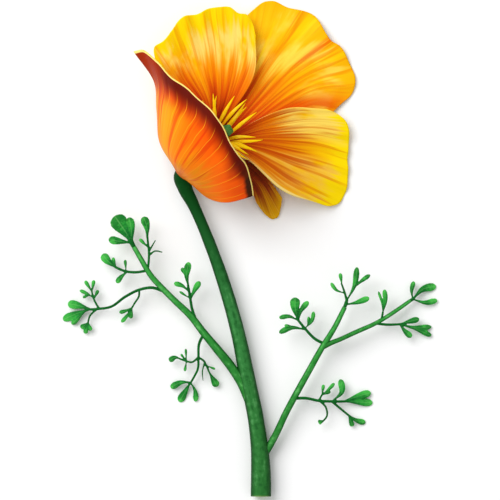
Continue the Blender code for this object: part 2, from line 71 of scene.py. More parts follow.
# Each petal is a loft through rows that run across it, from its foot (0) to its rim (1).
PETALS = {
    "petal_upper_right": {
        "seat": OUTER_SEAT,
        "throat": OUTER_THROAT,
        "arc": (50, -52),
        "rows": {
            0.62: [
                (-5.5, 51.5, 5.0), (-0.5, 55.5, 4.0), (6, 56, 3.2),
                (12.5, 52, 2.8), (16, 46.5, 2.7), (15.5, 41, 3.0),
            ],
            1.0: [
                (-3.5, 64, 3.2), (-2.2, 68.7, 2.4), (1.4, 72.6, 1.4), (4.0, 74.5, 0.6), (6.6, 74.9, 0.4),
                (11.5, 72.9, 0.6), (19.4, 70.5, 1.0), (22.9, 65.1, 1.8),
                (24.3, 63.1, 2.0), (27.1, 61.3, 1.4),
                (29.8, 56.6, 0.8), (31.7, 51.3, 0.5), (30.7, 46.9, 0.5), (27.6, 44.1, 0.7), (24, 40.5, 1.0),
            ],
        },
    },
    "petal_upper_left": {
        "seat": INNER_SEAT,
        "throat": INNER_THROAT,
        "arc": (118, 28),
        "rows": {
            0.62: [
                (-22.3, 47.5, 13), (-19.5, 53, 11), (-14.5, 56, 8.8),
                (-8.5, 56.7, 7.4), (-3, 54.8, 6.8), (0.7, 51, 7),
            ],
            1.0: [
                (-28.4, 56.8, 13.5), (-28.5, 60.7, 13.2), (-26.1, 62.3, 13),
                (-23.2, 65.8, 12), (-19.9, 69.9, 10.6),
                (-15.6, 70.6, 9.8), (-13.2, 72, 9), (-9.3, 72.8, 8), (-6, 72.8, 7.2), (-3.4, 71, 6.8),
                (-1, 70.6, 6.4), (0.3, 69, 6), (1.7, 64.3, 6),
            ],
        },
    },
    "petal_right": {
        "seat": INNER_SEAT,
        "throat": INNER_THROAT,
        "arc": (-25, -112),
        "rows": {
            0.62: [
                (9.5, 42, 8.2), (14, 38, 6.0), (15.8, 32, 4.8),
                (15.3, 26, 4.8), (13, 21.2, 6.4), (9, 18.3, 9.5),
            ],
            1.0: [
                (23, 42.3, 4.4), (26.5, 40.8, 3.4), (29.2, 38, 2.6), (29.8, 34, 1.8), (29.4, 27.2, 1.2),
                (29.4, 20.9, 0.8), (28.6, 16.8, 0.5), (26.5, 13.9, 0.7), (23.6, 13.2, 1.8), (20, 14.2, 3.6),
            ],
        },
    },
    "petal_small": {
        "ruffle": 0.08,
        "seat": OUTER_SEAT,
        "arc": (-97, -116),
        "rows": {
            0.4: [(-6.0, 27.6, 7.0), (-8.0, 26.0, 7.2), (-9.9, 24.2, 7.2)],
            0.56: [(0.2, 26.3, 6.4), (-2.6, 23.6, 6.0), (-5.4, 21.2, 5.8)],
            0.72: [(4.8, 22, 5), (1.5, 20.6, 4.6), (-0.6, 18.2, 4.4)],
            1.0: [
                (9.7, 15.6, 2.4), (9.2, 12.6, 1.2), (8.2, 9.8, 0.5),
                (6.9, 9.3, 0.4), (4.4, 11, 0.8), (2.2, 14, 2),
            ],
        },
    },
    "petal_front": {
        "seat": OUTER_SEAT,
        "arc": (115, 234),
        "rows": {
            0.34: [
                (-27.0, 32.4, 6.5), (-26.6, 32, 12), (-24.5, 29.8, 17),
                (-22, 27.2, 20), (-18.8, 24.4, 20.5),
                (-16.2, 21.2, 18), (-14, 17.8, 13.5), (-12.6, 15.7, 10.5),
            ],
            0.68: [
                (-27.9, 42.5, 9.5), (-27, 42.6, 16.5), (-24, 41, 23), (-19, 36.8, 28), (-13.5, 32, 30),
                (-9.6, 26.2, 28), (-7, 19.8, 23), (-6.1, 14.3, 17),
            ],
            0.84: [
                (-28.7, 50.6, 12.5), (-27.2, 49.9, 18), (-24.3, 46.6, 23.9), (-19.5, 42.9, 28.4),
                (-14.1, 38.3, 31.3), (-9.4, 32.4, 31.7), (-6, 26.2, 29.3),
                (-3.5, 20.7, 24.8), (-2.5, 15.1, 19.3),
            ],
            1.0: [
                (-34.7, 59.2, 15.5), (-32.2, 59.6, 17), (-29.9, 58.3, 19),
                (-27.5, 55.9, 21.5), (-24.2, 52.1, 25),
                (-19.9, 48.9, 28.5), (-15.3, 44.8, 31), (-10.3, 40.1, 33),
                (-8.2, 36.7, 33.4), (-6.3, 32.4, 33),
                (-3.6, 28.6, 31.5), (-1.2, 25.3, 29), (0.3, 20.9, 25.5), (1.1, 16.2, 21.5),
            ],
        },
    },
}

# The pistil's middle line and its diameter there: a slender shaft and a five-sided knob.
PISTIL = [
    (-18.2, 25.3, 7.9, 1.4),
    (-13.2, 30.2, 11.0, 1.6),
    (-9.4, 33.6, 13.0, 1.5),
    (-7.8, 34.9, 14.6, 2.0),
    (-7.0, 35.5, 16.0, 3.4),
    (-6.8, 35.7, 17.2, 3.3),
    (-6.7, 35.8, 17.9, 2.0),
]

# The stamens' tips, in order round the pistil; they start on one ring and pass through another.
STAMEN_SEAT = np.array([-18.3, 25.2, 7.6])
STAMEN_SEAT_RADIUS = 1.75
STAMEN_COLLAR = np.array([-9.3, 33.7, 13.3])
STAMEN_COLLAR_RADIUS = 2.7
STAMEN_TIPS = [
    (-14.1, 44.6, 17.5),
    (-11.0, 46.6, 16.5),
    (-10.0, 46.0, 14.6),
    (-4.6, 46.0, 13.8),
    (-1.0, 45.0, 13.2),
    (-1.4, 43.9, 11.8),
    (-1.0, 42.8, 10.4),
    (2.0, 41.2, 11.8),
    (1.7, 33.7, 12.6),
    (3.8, 32.9, 13.4),
    (2.2, 29.3, 14.4),
    (1.2, 29.8, 15.8),
    (-0.5, 28.4, 17.2),
    (-0.6, 26.9, 18.8),
    (-13.6, 33.2, 22.5),
]

# The leaf stalks' middle lines and diameters.
LEFT_STALK = [
    (-5.9, -34.7, 3.8, 2.8),
    (-9.9, -29.7, 4.3, 2.6),
    (-13.7, -25.1, 4.6, 2.3),
    (-18.0, -19.6, 4.9, 2.1),
    (-22.5, -15.3, 5.0, 1.9),
    (-26.4, -11.4, 5.1, 1.8),
    (-29.4, -8.1, 5.1, 1.7),
    (-32.9, -2.4, 5.2, 1.5),
    (-34.8, 0.9, 5.2, 1.4),
]
RIGHT_STALK = [
    (6.6, -58.2, 3.3, 2.1),
    (7.8, -55.3, 3.5, 2.1),
    (10.8, -48.9, 4.0, 2.0),
    (14.0, -42.9, 4.4, 2.0),
    (17.9, -35.9, 4.8, 1.9),
    (21.2, -30.0, 5.1, 1.8),
    (25.5, -23.0, 5.4, 1.6),
    (28.4, -17.2, 5.6, 1.4),
]
FORK_STALK = [
    (24.5, -27.8, 5.1, 1.5),
    (26.8, -26.9, 5.0, 1.4),
    (31.4, -24.8, 4.8, 1.4),
    (37.9, -21.9, 4.2, 1.3),
    (44.8, -17.6, 3.0, 1.2),
    (48.2, -15.2, 2.2, 1.1),
]

# Each leaf sprig: twigs as (points, first and last diameter) and lobes as (points, width), seen from above.
# Its height goes from "root" at the first twig's start to "end" at "reach" away from there.
SPRIGS = {
    "left_leaf_end": {
        "root": 5.2, "end": 6.6, "reach": 12, "clear": 0.4,
        "twigs": [([(-34.8, 0.9), (-35.7, 2.6)], 1.4, 1.5)],
        "lobes": [
            ([(-35.3, 2.2), (-37.7, 6.0), (-40.6, 10.2)], 5.2),
            ([(-35.4, 2.2), (-35.6, 6.2), (-36.3, 9.8)], 2.8),
            ([(-35.6, 2.2), (-39.0, 2.6), (-42.4, 3.2)], 2.5),
        ],
    },
    "left_leaf_upright": {
        "root": 5.2, "end": 7.4, "reach": 16, "clear": 2.0,
        "twigs": [
            ([(-30.7, -6.2), (-30.3, -2.0), (-30.8, 4.3)], 0.8, 0.7),
            ([(-30.3, -1.6), (-28.4, -0.3), (-26.2, -0.7)], 0.7, 0.4),
            ([(-30.3, -0.4), (-28.3, 3.0)], 0.7, 0.35),
        ],
        "lobes": [
            ([(-30.8, 3.6), (-30.9, 6.8), (-31.9, 10.0)], 2.6),
            ([(-30.4, 0.6), (-33.2, 3.4)], 1.1),
        ],
    },
    "left_leaf_side": {
        "root": 5.1, "end": 2.6, "reach": 14, "clear": 1.2,
        "twigs": [
            ([(-31.0, -6.2), (-34.5, -6.7), (-37.7, -6.3), (-40.5, -5.1)], 0.9, 0.8),
        ],
        "lobes": [
            ([(-40.0, -5.4), (-43.0, -3.0), (-44.3, -1.2)], 2.7),
            ([(-37.2, -6.3), (-37.5, -2.9)], 1.0),
            ([(-40.2, -5.2), (-41.2, -2.2)], 1.0),
            ([(-36.6, -6.4), (-38.4, -7.8), (-40.1, -9.9)], 1.7),
        ],
    },
    "left_leaf_runner": {
        "root": 5.1, "end": 0.5, "reach": 31, "clear": 3.2,
        "twigs": [
            ([(-25.4, -12.6), (-29.4, -11.3), (-33.4, -12.0), (-37.4, -14.0), (-41.9, -17.1), (-45.6, -17.7),
              (-48.8, -17.9)], 1.0, 0.8),
            ([(-45.4, -17.6), (-47.0, -14.6), (-47.6, -12.2)], 0.7, 0.6),
            ([(-45.8, -17.6), (-48.1, -19.8), (-48.8, -22.3)], 0.7, 0.6),
        ],
        "lobes": [
            ([(-48.0, -17.8), (-51.5, -16.7), (-54.8, -16.1)], 2.7),
            ([(-48.2, -17.9), (-52.3, -19.2), (-56.3, -21.0)], 2.5),
            ([(-49.5, -18.4), (-51.8, -20.5), (-53.6, -22.4)], 1.8),
            ([(-47.5, -12.6), (-48.6, -10.8), (-49.6, -9.2)], 1.2),
            ([(-47.5, -12.6), (-47.2, -10.8), (-46.9, -9.0)], 1.2),
            ([(-47.0, -14.4), (-49.0, -13.1), (-51.2, -12.1)], 1.2),
            ([(-48.2, -13.6), (-50.3, -14.3)], 0.9),
            ([(-46.9, -14.8), (-45.6, -12.0)], 1.1),
            ([(-48.6, -21.8), (-50.9, -23.5)], 1.7),
            ([(-48.6, -21.8), (-47.9, -24.3)], 1.4),
            ([(-48.7, -21.8), (-49.6, -25.2)], 1.5),
        ],
    },
    "left_leaf_hanging": {
        "root": 4.6, "end": 1.6, "reach": 11, "clear": 0.8,
        "twigs": [([(-33.2, -12.0), (-33.4, -14.0), (-34.6, -15.9), (-35.6, -17.6)], 0.7, 0.6)],
        "lobes": [
            ([(-35.3, -17.2), (-37.2, -18.2), (-39.3, -18.8)], 1.3),
            ([(-35.4, -17.2), (-35.9, -20.6)], 1.4),
            ([(-35.5, -17.4), (-37.0, -19.8), (-38.7, -21.8)], 1.3),
        ],
    },
    "left_leaf_inner_up": {
        "root": 5.0, "end": 7.6, "reach": 18, "clear": 3.4,
        "twigs": [
            ([(-16.0, -21.8), (-17.5, -17.1), (-17.9, -14.6), (-18.6, -10.4)], 1.0, 0.8),
        ],
        "lobes": [
            ([(-18.4, -11.2), (-19.0, -7.5), (-18.3, -3.6)], 2.2),
            ([(-18.8, -8.4), (-20.5, -5.3)], 1.3),
            ([(-18.4, -12.4), (-20.2, -10.8), (-22.8, -9.9)], 1.6),
            ([(-17.9, -14.6), (-21.2, -12.4)], 0.8),
            ([(-17.8, -14.8), (-16.6, -12.0), (-15.0, -9.4)], 1.9),
        ],
    },
    "left_leaf_inner_down": {
        "root": 4.6, "end": 0.5, "reach": 20, "clear": 1.75,
        "twigs": [
            ([(-13.6, -24.8), (-15.2, -27.9), (-15.5, -32.6)], 1.0, 0.8),
            ([(-15.5, -32.2), (-17.5, -33.7), (-19.1, -33.4), (-21.3, -32.6)], 0.7, 0.6),
            ([(-15.5, -32.2), (-13.8, -33.4), (-12.9, -35.2), (-12.0, -37.3)], 0.7, 0.6),
            ([(-15.5, -32.0), (-15.7, -35.8), (-16.9, -38.3), (-18.0, -40.2)], 0.8, 0.7),
            ([(-13.6, -33.6), (-14.3, -36.7), (-14.1, -39.3)], 0.55, 0.35),
        ],
        "lobes": [
            ([(-20.8, -32.7), (-22.6, -32.3), (-24.3, -33.4)], 1.8),
            ([(-19.1, -33.4), (-19.3, -29.6)], 0.8),
            ([(-19.2, -33.3), (-20.8, -31.2)], 0.8),
            ([(-19.1, -33.4), (-19.6, -36.5)], 0.9),
            ([(-12.2, -36.8), (-11.0, -39.0), (-9.8, -41.1)], 2.3),
            ([(-12.9, -34.8), (-10.4, -35.8)], 0.8),
            ([(-17.8, -39.8), (-20.6, -39.8), (-23.9, -41.4)], 2.1),
            ([(-17.9, -39.8), (-19.5, -42.6), (-21.3, -45.7)], 2.4),
            ([(-17.8, -39.9), (-16.5, -42.4), (-16.3, -45.6)], 1.7),
        ],
    },
    "right_leaf_low": {
        "root": 4.2, "end": 0.5, "reach": 23, "clear": 2.15,
        "twigs": [
            ([(12.8, -44.6), (16.8, -44.5), (20.8, -45.3), (24.8, -45.5), (28.8, -45.5)], 1.0, 0.8),
            ([(20.6, -45.3), (21.8, -43.2)], 0.7, 0.6),
            ([(20.8, -45.2), (22.8, -47.3), (23.1, -49.9), (21.6, -51.8)], 0.7, 0.6),
            ([(24.6, -45.5), (27.7, -48.1), (30.0, -50.0)], 0.8, 0.7),
        ],
        "lobes": [
            ([(28.2, -45.5), (32.4, -44.0), (36.4, -42.9)], 2.4),
            ([(28.2, -45.5), (32.6, -45.7), (36.9, -46.0)], 2.4),
            ([(24.8, -45.4), (27.6, -42.6), (27.2, -38.8)], 2.1),
            ([(21.6, -43.6), (22.1, -40.4)], 1.1),
            ([(21.6, -43.6), (24.2, -42.4)], 1.2),
            ([(21.6, -43.6), (23.8, -41.7), (25.4, -40.0)], 1.2),
            ([(22.2, -51.2), (20.5, -51.9)], 1.6),
            ([(29.6, -49.6), (32.0, -51.2), (34.8, -52.0)], 1.8),
            ([(29.6, -49.6), (30.9, -53.1)], 1.6),
        ],
    },
    "right_leaf_inner": {
        "root": 5.2, "end": 7.2, "reach": 16, "clear": 1.25,
        "twigs": [
            ([(22.4, -28.2), (19.7, -26.8), (16.6, -23.7), (14.4, -21.0)], 1.0, 0.8),
        ],
        "lobes": [
            ([(14.6, -21.2), (13.6, -17.8), (13.5, -14.2)], 3.1),
            ([(14.7, -21.3), (11.7, -19.9), (8.7, -20.3)], 1.5),
            ([(14.5, -21.1), (15.3, -18.2), (17.5, -15.4)], 1.8),
            ([(16.4, -23.5), (18.5, -21.4), (19.1, -18.4)], 1.3),
            ([(17.2, -22.9), (17.7, -19.9)], 0.9),
            ([(16.8, -23.9), (12.4, -23.3), (8.7, -24.8)], 1.8),
            ([(14.2, -23.5), (10.3, -22.5)], 1.0),
        ],
    },
    "right_leaf_top": {
        "root": 5.6, "end": 7.4, "reach": 13, "clear": 0.5,
        "twigs": [
            ([(28.4, -17.2), (29.1, -14.9)], 1.2, 1.0),
            ([(29.0, -15.2), (28.4, -12.8), (27.4, -10.0)], 0.8, 0.6),
        ],
        "lobes": [
            ([(28.7, -16.4), (32.1, -15.7), (35.8, -14.3)], 1.9),
            ([(27.6, -10.6), (27.0, -6.9)], 1.2),
            ([(28.5, -13.0), (25.9, -12.0), (24.2, -9.8)], 1.2),
            ([(29.0, -15.2), (31.2, -11.0), (32.1, -5.1)], 1.9),
            ([(31.0, -11.6), (33.4, -9.3), (36.0, -7.4)], 1.4),
        ],
    },
    "right_leaf_fork_up": {
        "root": 4.1, "end": 6.0, "reach": 9, "clear": 1.2,
        "twigs": [([(39.5, -20.9), (39.9, -18.6)], 0.8, 0.7)],
        "lobes": [
            ([(39.8, -19.0), (40.6, -15.6), (40.3, -11.8)], 1.6),
            ([(39.9, -18.8), (39.5, -15.4), (38.5, -12.4)], 0.9),
        ],
    },
    "right_leaf_fork_low": {
        "root": 4.3, "end": 0.8, "reach": 17, "clear": 2.0,
        "twigs": [([(37.6, -22.0), (41.0, -22.4), (45.4, -22.3)], 0.9, 0.8)],
        "lobes": [
            ([(44.8, -22.3), (48.2, -21.4), (50.9, -20.7)], 1.9),
            ([(44.8, -22.3), (50.0, -23.4), (54.6, -23.1)], 1.8),
            ([(47.4, -22.9), (51.4, -24.4), (54.6, -25.8)], 1.7),
            ([(44.9, -22.2), (46.8, -24.6), (48.6, -26.2)], 1.9),
        ],
    },
    "right_leaf_end": {
        "root": 2.2, "end": 0.6, "reach": 8, "clear": 0.4,
        "twigs": [([(48.2, -15.2), (49.4, -14.5)], 1.1, 1.0)],
        "lobes": [
            ([(48.9, -14.9), (48.6, -12.0), (49.3, -9.4)], 1.5),
            ([(48.9, -14.8), (52.0, -11.8), (56.0, -10.9)], 2.5),
            ([(48.9, -14.8), (52.8, -15.8), (56.4, -15.1)], 1.8),
        ],
    },
}


def through(knots, values, places):
    """A smooth curve that has the given values at the knots, read at the given places."""
    knots, values, places = np.array(knots), np.array(values, float), np.array(places)
    slopes = np.gradient(values, knots, axis=0)
    spot = np.clip(np.searchsorted(knots, places, side="right") - 1, 0, len(knots) - 2)
    width = (knots[spot + 1] - knots[spot]).reshape(-1, *[1] * (values.ndim - 1))
    s = ((places - knots[spot]).reshape(width.shape)) / width
    start, end = values[spot], values[spot + 1]
    start_slope, end_slope = slopes[spot] * width, slopes[spot + 1] * width
    return (
        (2 * s**3 - 3 * s**2 + 1) * start
        + (s**3 - 2 * s**2 + s) * start_slope
        + (3 * s**2 - 2 * s**3) * end
        + (s**3 - s**2) * end_slope
    )


def along(points, places):
    """Points at places from 0 to 1 along a smooth curve through the given points."""
    points = np.array(points, float)
    steps = np.linalg.norm(np.diff(points[:, :3], axis=0), axis=1)
    return through(np.concatenate([[0], np.cumsum(steps)]) / steps.sum(), points, places)


def ring(centre, radius, degrees):
    """Points on a ring round the bloom's axis. Its angle is 0 on the far side and 90 on the left."""
    turn = np.radians(degrees)[:, None]
    return centre + radius * (np.cos(turn) * BLOOM_FAR + np.sin(turn) * BLOOM_LEFT)


def lifted(points, spec):
    """The same points with the height that a sprig has there."""
    points = np.array(points, float)
    away = np.linalg.norm(points - spec["twigs"][0][0][0], axis=1) / spec["reach"]
    rise = (spec["end"] - spec["root"]) * np.clip(away, 0, 1) ** 1.4
    return np.column_stack([points, spec["root"] + rise])


# ---------------------------------------------------------------- materials
def linear(code):
    """A colour written as six hex digits, as the shader wants it."""
    parts = [int(code[k:k + 2], 16) / 255 for k in (0, 2, 4)]
    return (*[c / 12.92 if c <= 0.04045 else ((c + 0.055) / 1.055) ** 2.4 for c in parts], 1)


class Look:
    """One node material, written down from its values towards its shader."""

    def __init__(self, name, specular=0.06):
        self.material = bpy.data.materials.new(name)
        self.material.use_nodes = True
        self.tree = self.material.node_tree
        self.shader = self.tree.nodes["Principled BSDF"]
        self.shader.inputs["Specular IOR Level"].default_value = specular

    def set(self, socket, value):
        if isinstance(value, bpy.types.NodeSocket):
            self.tree.links.new(value, socket)
        else:
            socket.default_value = value

    def node(self, kind, values, out=0, **settings):
        made = self.tree.nodes.new(kind)
        for key, value in settings.items():
            setattr(made, key, value)
        for key, value in values.items():
            self.set(made.inputs[key], value)
        return made.outputs[out]

    def math(self, operation, a, b=0.0):
        return self.node("ShaderNodeMath", {0: a, 1: b}, operation=operation)

    def fade(self, value, start, end):
        """0 at the start and 1 at the end, smooth between them."""
        values = {"Value": value, "From Min": start, "From Max": end}
        return self.node("ShaderNodeMapRange", values, interpolation_type="SMOOTHSTEP")

    def window(self, value, a, b, c, d):
        """1 between b and c, 0 before a and after d."""
        return self.math("MULTIPLY", self.fade(value, a, b), self.fade(value, d, c))

    def noise(self, vector, detail=3.0):
        values = {"Vector": vector, "Scale": 1.0, "Detail": detail, "Roughness": 0.55}
        return self.node("ShaderNodeTexNoise", values)

    def stretched(self, u, v, across, along_it, seed, detail=3.0):
        values = {0: self.math("MULTIPLY", u, across), 1: self.math("MULTIPLY", v, along_it), 2: seed}
        return self.noise(self.node("ShaderNodeCombineXYZ", values), detail)

    def ramp(self, value, stops):
        made = self.tree.nodes.new("ShaderNodeValToRGB")
        self.set(made.inputs[0], value)
        elements = made.color_ramp.elements
        while len(elements) < len(stops):
            elements.new(0.5)
        for element, (place, code) in zip(elements, stops):
            element.position = place
            element.color = linear(code)
        return made.outputs[0]

    def blend(self, factor, a, b):
        return self.node("ShaderNodeMix", {0: factor, 6: a, 7: b}, out=2, data_type="RGBA")

    def close(self, colour, roughness, height, strength=0.4, distance=0.00012):
        self.set(self.shader.inputs["Base Color"], colour)
        self.set(self.shader.inputs["Roughness"], roughness)
        bump = self.node("ShaderNodeBump", {"Strength": strength, "Distance": distance, "Height": height})
        self.set(self.shader.inputs["Normal"], bump)
        return self.material


def uv_parts(look):
    coordinates = look.tree.nodes.new("ShaderNodeUVMap")
    split = look.tree.nodes.new("ShaderNodeSeparateXYZ")
    look.tree.links.new(coordinates.outputs[0], split.inputs[0])
    return split.outputs[0], split.outputs[1]


# Petal looks. A ramp runs from the foot to the rim, broken up by streaks. Layers lie on it: the
# colour, a window across the petal, a window along it, and how much of it the streaks leave.
FULL = (-2, -1, 2, 3)
PETAL_LOOKS = {
    "petal_upper_left": {
        "ramp": [(0.22, "6a1400"), (0.36, "b83000"), (0.46, "de5800"), (0.58, "f48e00"), (0.70, "fbb400"),
                 (0.84, "fdc600"), (1.0, "fed400")],
        "layers": [
            # Painted highlight: pale patches about two thirds of the way to the rim, broken up by streaks.
            ("fede70", FULL, (0.56, 0.76, 0.82, 0.94), (5, 3, 0.38, 0.54), 0.9),
            ("ffd900", FULL, (0.76, 0.86, 1.2, 1.3), (8, 1, 0.44, 0.58), 0.9),
            ("f49a00", FULL, (0.40, 0.50, 0.95, 1.1), (24, 0.7, 0.56, 0.64), 0.6),
            ("d04800", FULL, (0.28, 0.36, 0.54, 0.70), (22, 0.7, 0.52, 0.62), 0.6),
            ("ec8200", (-0.3, -0.1, 0.03, 0.12), (0.2, 0.3, 0.85, 1.0), None, 0.6),
            ("ec7400", (0.90, 0.97, 1.2, 1.3), (0.2, 0.3, 0.62, 0.80), None, 0.6),
        ],
    },
    "petal_upper_right": {
        "ramp": [(0.22, "8c1c00"), (0.38, "cc3200"), (0.48, "e05a00"), (0.60, "f29400"), (0.72, "f8b200"),
                 (0.86, "fbc00c"), (1.0, "f9b400")],
        "layers": [
            # Painted highlight: pale patches about two thirds of the way to the rim, broken up by streaks.
            ("fdd64a", FULL, (0.54, 0.74, 0.84, 0.95), (5, 3, 0.40, 0.58), 0.9),
            ("fcd000", FULL, (0.55, 0.65, 0.92, 1.05), (10, 1.2, 0.50, 0.62), 0.7),
            ("ee8800", FULL, (0.35, 0.45, 0.95, 1.1), (22, 0.7, 0.55, 0.63), 0.65),
            ("c03c00", FULL, (0.28, 0.36, 0.56, 0.72), (20, 0.7, 0.50, 0.60), 0.6),
            # Painted shade: darker orange along both edges, where the upper-left and right petals lie over this
            # one.
            ("e65000", (0.0, 0.02, 0.10, 0.22), (0.3, 0.4, 0.80, 1.0), (14, 1.0, 0.30, 0.50), 0.85),
            ("e65400", (0.80, 0.94, 1.1, 1.2), (0.3, 0.4, 0.9, 1.2), (14, 1.0, 0.30, 0.50), 0.85),
            ("e85400", (0.548, 0.574, 0.582, 0.608), (0.45, 0.7, 1.1, 1.2), (60, 2, 0.3, 0.5), 0.75),
        ],
    },
    "petal_right": {
        "ramp": [(0.24, "8c2000"), (0.36, "bc3c00"), (0.48, "de7000"), (0.62, "f0a400"), (0.76, "f8c200"),
                 (0.88, "fcd800"), (1.0, "fedc00")],
        "layers": [
            # Painted highlights: a pale patch on the left of the petal towards the rim, and a pale tan one on its
            # right.
            ("fdda62", (-0.1, 0.0, 0.26, 0.42), (0.5, 0.62, 0.90, 1.0), (5, 3, 0.30, 0.48), 0.85),
            ("f4be54", (0.5, 0.6, 0.95, 1.0), (0.46, 0.66, 0.80, 0.92), (6, 3, 0.40, 0.56), 0.6),
            ("e07c00", FULL, (0.3, 0.4, 0.82, 1.05), (22, 0.7, 0.54, 0.62), 0.65),
            ("c04400", FULL, (0.26, 0.34, 0.56, 0.74), (20, 0.7, 0.50, 0.60), 0.65),
            # Painted highlight: a cream line along the petal's lower-left edge.
            ("fbe58c", (0.965, 0.98, 1.1, 1.2), (0.45, 0.6, 1.1, 1.2), None, 0.85),
        ],
    },
    "petal_small": {
        # Painted shadow: dark brown over most of the petal, where the petals above shade it, turning ochre towards
        # its tip.
        "ramp": [(0.20, "4a1204"), (0.62, "641a06"), (0.78, "8e300a"), (0.89, "bc7004"), (1.0, "dea404")],
        "layers": [
            ("8a3c04", FULL, (0.4, 0.5, 0.85, 1.0), (10, 1.2, 0.50, 0.64), 0.5),
            ("e8b53a", FULL, (0.78, 0.86, 1.1, 1.2), (14, 1.2, 0.54, 0.64), 0.5),
        ],
    },
    "petal_front": {
        # The ramp darkens towards the rim as part of the painted shade under the curled rim.
        "ramp": [(0.08, "d46400"), (0.26, "f67c00"), (0.48, "fd6e00"), (0.70, "fc5e00"), (0.86, "f04e00"),
                 (1.0, "d84400")],
        "layers": [
            ("e69d00", (-0.3, -0.2, 0.26, 0.52), (0.10, 0.22, 0.70, 0.86), (8, 0.8, 0.34, 0.52), 0.9),
            ("ec9000", FULL, (0.05, 0.12, 0.44, 0.64), (10, 0.8, 0.42, 0.56), 0.85),
            ("e03400", FULL, (0.10, 0.30, 0.95, 1.1), (24, 0.7, 0.54, 0.62), 0.7),
            # Painted shade under the curled rim: a maroon band along it and down the left corner, near black just
            # under the rim at the right.
            ("8a2000", (-0.3, -0.2, 0.78, 0.90), (0.66, 0.92, 1.1, 1.2), (8, 0.8, 0.10, 0.50), 0.85),
            ("5c0c00", (0.10, 0.24, 0.84, 0.92), (0.80, 0.94, 1.1, 1.2), None, 0.95),
            ("a02c02", (-0.3, -0.2, 0.06, 0.18), (0.76, 0.88, 1.1, 1.2), None, 0.85),
            ("201404", (0.80, 0.90, 1.1, 1.2), (0.88, 0.94, 1.1, 1.2), None, 0.95),
        ],
        "veins": ("ffae1c", 15, (0.05, 0.12, 0.80, 0.93)),
    },
}
# Painted highlight: the cream colours the petals' edge faces and a thin band just under the front petal's rim.
RIM_HIGHLIGHT_COLOUR = "f6dc7a"
RIM_HIGHLIGHT_BAND = (0.987, 0.991)


def petal_look(name, ramp, layers, seed, veins=None, layer_pull=1.0):
    look = Look(name)
    u, v = uv_parts(look)
    streaks = look.stretched(u, v, 34, 1.4, seed)
    fine = look.stretched(u, v, 130, 1.8, seed + 3, 2.0)
    broad = look.stretched(u, v, 9, 0.8, seed + 5)
    shift = look.math("MULTIPLY", look.math("SUBTRACT", streaks, 0.5), 0.34)
    shift = look.math("ADD", shift, look.math("MULTIPLY", look.math("SUBTRACT", broad, 0.5), 0.45))
    warped = look.math("ADD", v, look.math("MULTIPLY", shift, look.window(v, 0.1, 0.3, 0.8, 1.05)))
    colour = look.ramp(warped, ramp)
    place = look.math("ADD", v, look.math("MULTIPLY", shift, layer_pull))
    for k, (code, across, upwards, broken, amount) in enumerate(layers):
        mask = look.math("MULTIPLY", look.window(u, *across), look.window(place, *upwards))
        if broken:
            wide, tall, low, high = broken
            speckle = look.stretched(u, v, wide, tall, seed + 10 + k)
            mask = look.math("MULTIPLY", mask, look.fade(speckle, low, high))
        colour = look.blend(look.math("MULTIPLY", mask, amount), colour, linear(code))
    if veins:
        code, count, upwards = veins
        bend = look.math("MULTIPLY", look.math("SUBTRACT", look.stretched(u, v, 3, 2, seed + 7), 0.5), 0.035)
        turn = look.math("MULTIPLY", look.math("ADD", u, bend), count)
        beside = look.math("ABSOLUTE", look.math("SUBTRACT", look.math("FRACT", turn), 0.5))
        mask = look.math("MULTIPLY", look.fade(beside, 0.030, 0.012), look.window(v, *upwards))
        colour = look.blend(look.math("MULTIPLY", mask, 0.75), colour, linear(code))
        # Painted highlight: a cream band just under the rim.
        rim = look.window(v, *RIM_HIGHLIGHT_BAND, 2, 3)
        colour = look.blend(rim, colour, linear(RIM_HIGHLIGHT_COLOUR))
    vein = look.fade(fine, 0.56, 0.70)
    darker = look.blend(1.0, colour, colour)
    darker.node.blend_type = "MULTIPLY"
    colour = look.blend(look.math("MULTIPLY", vein, 0.09), colour, darker)
    roughness = look.math("ADD", 0.40, look.math("MULTIPLY", streaks, 0.20))
    height = look.math("ADD", fine, look.math("MULTIPLY", streaks, 0.6))
    return look.close(colour, roughness, height, strength=0.2)


# The edge faces are painted as a cream highlight, mottled with yellow.
def rim_highlight_look(name, code):
    look = Look(name)
    u, v = uv_parts(look)
    mottle = look.stretched(u, v, 60, 2.0, 1.0)
    colour = look.blend(look.fade(mottle, 0.4, 0.62), linear(code), linear("f2c238"))
    return look.close(colour, look.math("ADD", 0.42, look.math("MULTIPLY", mottle, 0.1)), mottle)


def grown_look(name, dark, middle, light, seed, streak_count, streak_pull, side_shade=None, glow=0.5, fading=(2, 1)):
    """A stem, stalk, shaft or blade: streaks run along it, and its ramp goes from start to end."""
    look = Look(name)
    u, v = uv_parts(look)
    streaks = look.stretched(u, v, streak_count, streak_pull, seed)
    place = look.tree.nodes.new("ShaderNodeTexCoord").outputs["Object"]
    mottle = look.noise(look.node("ShaderNodeVectorMath", {0: place, "Scale": 600}, 0, operation="SCALE"))
    streaks = look.math("ADD", look.math("MULTIPLY", streaks, 0.5), look.math("MULTIPLY", mottle, 0.5))
    colour = look.ramp(v, middle)
    colour = look.blend(look.math("MULTIPLY", look.fade(streaks, 0.50, 0.34), 0.75), colour, linear(dark))
    glow_here = look.math("MULTIPLY", look.fade(streaks, 0.50, 0.66), look.fade(v, *fading))
    colour = look.blend(look.math("MULTIPLY", glow_here, glow), colour, linear(light))
    # Painted shade: both sides of the round stem or stalk darker than its top and underside.
    if side_shade:
        side = look.math("ABSOLUTE", look.math("SUBTRACT", u, 0.5))
        colour = look.blend(look.math("MULTIPLY", look.fade(side, 0.12, 0.40), 0.9), colour, linear(side_shade))
    roughness = look.math("ADD", 0.40, look.math("MULTIPLY", streaks, 0.18))
    return look.close(colour, roughness, streaks, strength=0.5)


